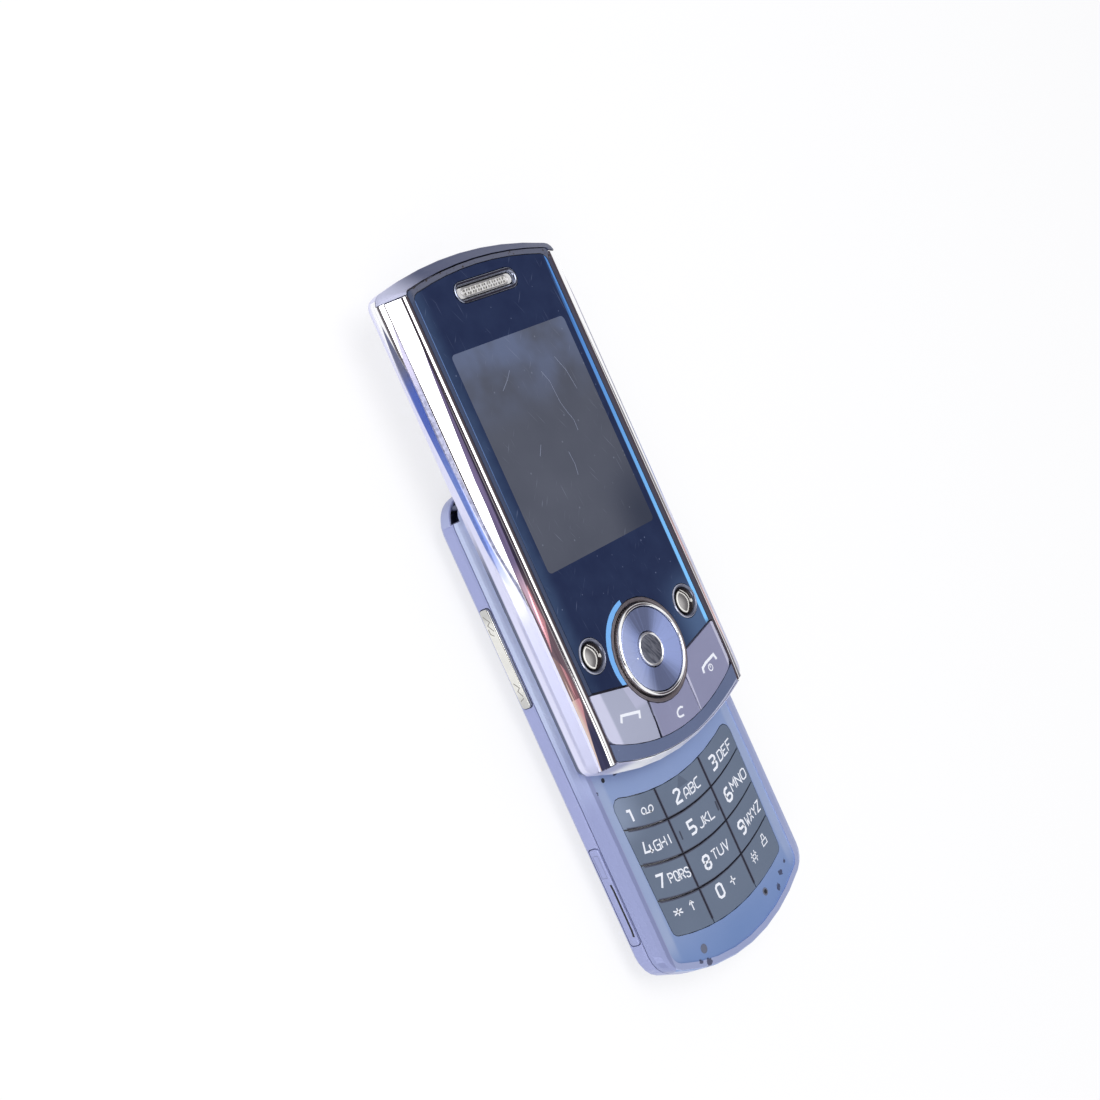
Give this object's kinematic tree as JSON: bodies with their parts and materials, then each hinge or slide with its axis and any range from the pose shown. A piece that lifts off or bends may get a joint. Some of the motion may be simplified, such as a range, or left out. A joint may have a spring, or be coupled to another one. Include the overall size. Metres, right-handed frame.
{
  "type": "slider mobile phone",
  "caption": "Pocket slider phone shown open: a display half with a round navigation pad slides on a steel rail over a keypad half with a battery cover.",
  "frame": {"origin": "middle of the open phone's footprint on the rest face", "axes": "X across the phone, +Y toward the earpiece end, +Z out of the display"},
  "size_m": [0.0494, 0.1342, 0.0148],
  "materials": {
    "base_paint": "satin blue lacquer",
    "base_back": "satin lavender blue",
    "cover_paint": "satin lavender blue",
    "card_door": "satin lavender blue",
    "port_door": "soft matte",
    "volume_chrome": "polished, slightly warm",
    "camera_key_chrome": "polished",
    "post_steel": "plain",
    "mat_rubber": "plain",
    "board_green": "solder mask",
    "shield_steel": "plain",
    "battery_wrap": "printed wrap left plain",
    "sim_steel": "plain",
    "card_steel": "plain",
    "port_steel": "plain",
    "speaker_black": "matte",
    "motor_steel": "plain",
    "antenna_plastic": "matte",
    "rail_steel": "plain",
    "flex_amber": "film",
    "carriage_steel": "plain",
    "slide_paint": "satin lavender white",
    "cap_paint": "satin lavender",
    "trim_chrome": "mirror",
    "frame_paint": "dark metallic",
    "lens_glass": "gloss, scratched",
    "display_grey": "unlit display",
    "chin_paint": "satin slate blue",
    "ear_chrome": "polished",
    "mesh_metal": "plain",
    "receiver_black": "matte",
    "bezel_chrome": "dark polished",
    "nav_chrome": "mirror",
    "nav_metal": "spun blue anodised",
    "gimbal_plastic": "plain",
    "ok_metal": "grey centre with a bright rim",
    "soft_chrome": "domed",
    "soft_ring_metal": "polished",
    "call_paint": "satin lavender grey",
    "camera_black": "plain",
    "camera_ring": "plain",
    "key_paint": "satin slate"
  },
  "bodies": {
    "base": {"base_front_housing": "base_paint", "base_rear_housing": "base_back", "strap_post": "post_steel", "keypad_mat": "mat_rubber", "main_board": "board_green", "shield_can": "shield_steel", "battery": "battery_wrap", "sim_holder": "sim_steel", "card_socket": "card_steel", "data_port": "port_steel", "loudspeaker": "speaker_black", "vibration_motor": "motor_steel", "antenna": "antenna_plastic", "rail_plate": "rail_steel", "flex_cable": "flex_amber"},
    "slide": {"slide_rear_housing": "slide_paint", "slide_carriage": "carriage_steel", "slide_front_housing": "frame_paint", "top_cap": "cap_paint", "side_trim_left": "trim_chrome", "side_trim_right": "trim_chrome", "window_lens": "lens_glass", "lcd_panel": "display_grey", "chin_trim": "chin_paint", "earpiece_bezel": "ear_chrome", "earpiece_mesh": "mesh_metal", "receiver": "receiver_black", "function_board": "board_green", "nav_bezel": "bezel_chrome", "softkey_ring_left": "soft_ring_metal", "softkey_ring_right": "soft_ring_metal", "camera_module": "camera_black", "camera_bezel": "camera_ring"},
    "nav_gimbal": {"nav_gimbal": "gimbal_plastic"},
    "nav_pad": {"nav_ring": "nav_chrome", "nav_disc": "nav_metal"},
    "ok_key": {"ok_key": "ok_metal"},
    "softkey_left": {"softkey_left": "soft_chrome"},
    "softkey_right": {"softkey_right": "soft_chrome"},
    "send_key": {"send_key": "call_paint"},
    "clear_key": {"clear_key": "call_paint"},
    "end_key": {"end_key": "call_paint"},
    "volume_key": {"volume_key": "volume_chrome"},
    "camera_key": {"camera_key": "camera_key_chrome"},
    "battery_cover": {"battery_cover": "cover_paint"},
    "card_cover": {"card_cover": "card_door"},
    "port_cover": {"port_cover": "port_door"},
    "key_1": {"key_1": "key_paint"},
    "key_2": {"key_2": "key_paint"},
    "key_3": {"key_3": "key_paint"},
    "key_4": {"key_4": "key_paint"},
    "key_5": {"key_5": "key_paint"},
    "key_6": {"key_6": "key_paint"},
    "key_7": {"key_7": "key_paint"},
    "key_8": {"key_8": "key_paint"},
    "key_9": {"key_9": "key_paint"},
    "key_star": {"key_star": "key_paint"},
    "key_0": {"key_0": "key_paint"},
    "key_hash": {"key_hash": "key_paint"}
  },
  "joints": [
    {"name": "slider", "type": "slide", "parent": "base", "child": "slide", "axis": [0, -1, 0], "range_m": [0, 0.0363]},
    {"name": "key_1_press", "type": "slide", "parent": "base", "child": "key_1", "axis": [0, 0, -1], "range_m": [0, 0.0003], "stiffness_N_per_m": 2500},
    {"name": "key_2_press", "type": "slide", "parent": "base", "child": "key_2", "axis": [0, 0, -1], "range_m": [0, 0.0003], "stiffness_N_per_m": 2500},
    {"name": "key_3_press", "type": "slide", "parent": "base", "child": "key_3", "axis": [0, 0, -1], "range_m": [0, 0.0003], "stiffness_N_per_m": 2500},
    {"name": "key_4_press", "type": "slide", "parent": "base", "child": "key_4", "axis": [0, 0, -1], "range_m": [0, 0.0003], "stiffness_N_per_m": 2500},
    {"name": "key_5_press", "type": "slide", "parent": "base", "child": "key_5", "axis": [0, 0, -1], "range_m": [0, 0.0003], "stiffness_N_per_m": 2500},
    {"name": "key_6_press", "type": "slide", "parent": "base", "child": "key_6", "axis": [0, 0, -1], "range_m": [0, 0.0003], "stiffness_N_per_m": 2500},
    {"name": "key_7_press", "type": "slide", "parent": "base", "child": "key_7", "axis": [0, 0, -1], "range_m": [0, 0.0003], "stiffness_N_per_m": 2500},
    {"name": "key_8_press", "type": "slide", "parent": "base", "child": "key_8", "axis": [0, 0, -1], "range_m": [0, 0.0003], "stiffness_N_per_m": 2500},
    {"name": "key_9_press", "type": "slide", "parent": "base", "child": "key_9", "axis": [0, 0, -1], "range_m": [0, 0.0003], "stiffness_N_per_m": 2500},
    {"name": "key_star_press", "type": "slide", "parent": "base", "child": "key_star", "axis": [0, 0, -1], "range_m": [0, 0.0003], "stiffness_N_per_m": 2500},
    {"name": "key_0_press", "type": "slide", "parent": "base", "child": "key_0", "axis": [0, 0, -1], "range_m": [0, 0.0003], "stiffness_N_per_m": 2500},
    {"name": "key_hash_press", "type": "slide", "parent": "base", "child": "key_hash", "axis": [0, 0, -1], "range_m": [0, 0.0003], "stiffness_N_per_m": 2500},
    {"name": "send_key_press", "type": "slide", "parent": "slide", "child": "send_key", "axis": [0, 0, -1], "range_m": [0, 0.0003], "stiffness_N_per_m": 2500},
    {"name": "clear_key_press", "type": "slide", "parent": "slide", "child": "clear_key", "axis": [0, 0, -1], "range_m": [0, 0.0003], "stiffness_N_per_m": 2500},
    {"name": "end_key_press", "type": "slide", "parent": "slide", "child": "end_key", "axis": [0, 0, -1], "range_m": [0, 0.0003], "stiffness_N_per_m": 2500},
    {"name": "softkey_left_press", "type": "slide", "parent": "slide", "child": "softkey_left", "axis": [0, 0, -1], "range_m": [0, 0.0003], "stiffness_N_per_m": 2500},
    {"name": "softkey_right_press", "type": "slide", "parent": "slide", "child": "softkey_right", "axis": [0, 0, -1], "range_m": [0, 0.0003], "stiffness_N_per_m": 2500},
    {"name": "ok_key_press", "type": "slide", "parent": "slide", "child": "ok_key", "axis": [0, 0, -1], "range_m": [0, 0.0003], "stiffness_N_per_m": 2500},
    {"name": "camera_key_press", "type": "slide", "parent": "base", "child": "camera_key", "axis": [-1, 0, 0], "range_m": [0, 0.0003], "stiffness_N_per_m": 3000},
    {"name": "nav_tilt_x", "type": "hinge", "parent": "slide", "child": "nav_gimbal", "pos_m": [0, -0.01018, 0.0129], "axis": [1, 0, 0], "range_deg": [-2, 2], "stiffness_Nm_per_rad": 0.25},
    {"name": "nav_tilt_y", "type": "hinge", "parent": "nav_gimbal", "child": "nav_pad", "pos_m": [0, -0.01018, 0.0129], "axis": [0, 1, 0], "range_deg": [-2, 2], "stiffness_Nm_per_rad": 0.25},
    {"name": "volume_rock", "type": "hinge", "parent": "base", "child": "volume_key", "pos_m": [-0.02295, -0.0002, 0.0048], "axis": [0, 0, 1], "range_deg": [-1.5, 1.5], "stiffness_Nm_per_rad": 0.4},
    {"name": "battery_cover_slide", "type": "slide", "parent": "base", "child": "battery_cover", "axis": [0, -1, 0], "range_m": [0, 0.083]},
    {"name": "card_cover_hinge", "type": "hinge", "parent": "base", "child": "card_cover", "pos_m": [-0.02435, -0.0362, 0.0048], "axis": [0, 0, -1], "range_deg": [0, 100]},
    {"name": "port_cover_hinge", "type": "hinge", "parent": "base", "child": "port_cover", "pos_m": [0.02435, 0.0121, 0.0048], "axis": [0, 0, 1], "range_deg": [0, 100]}
  ]
}
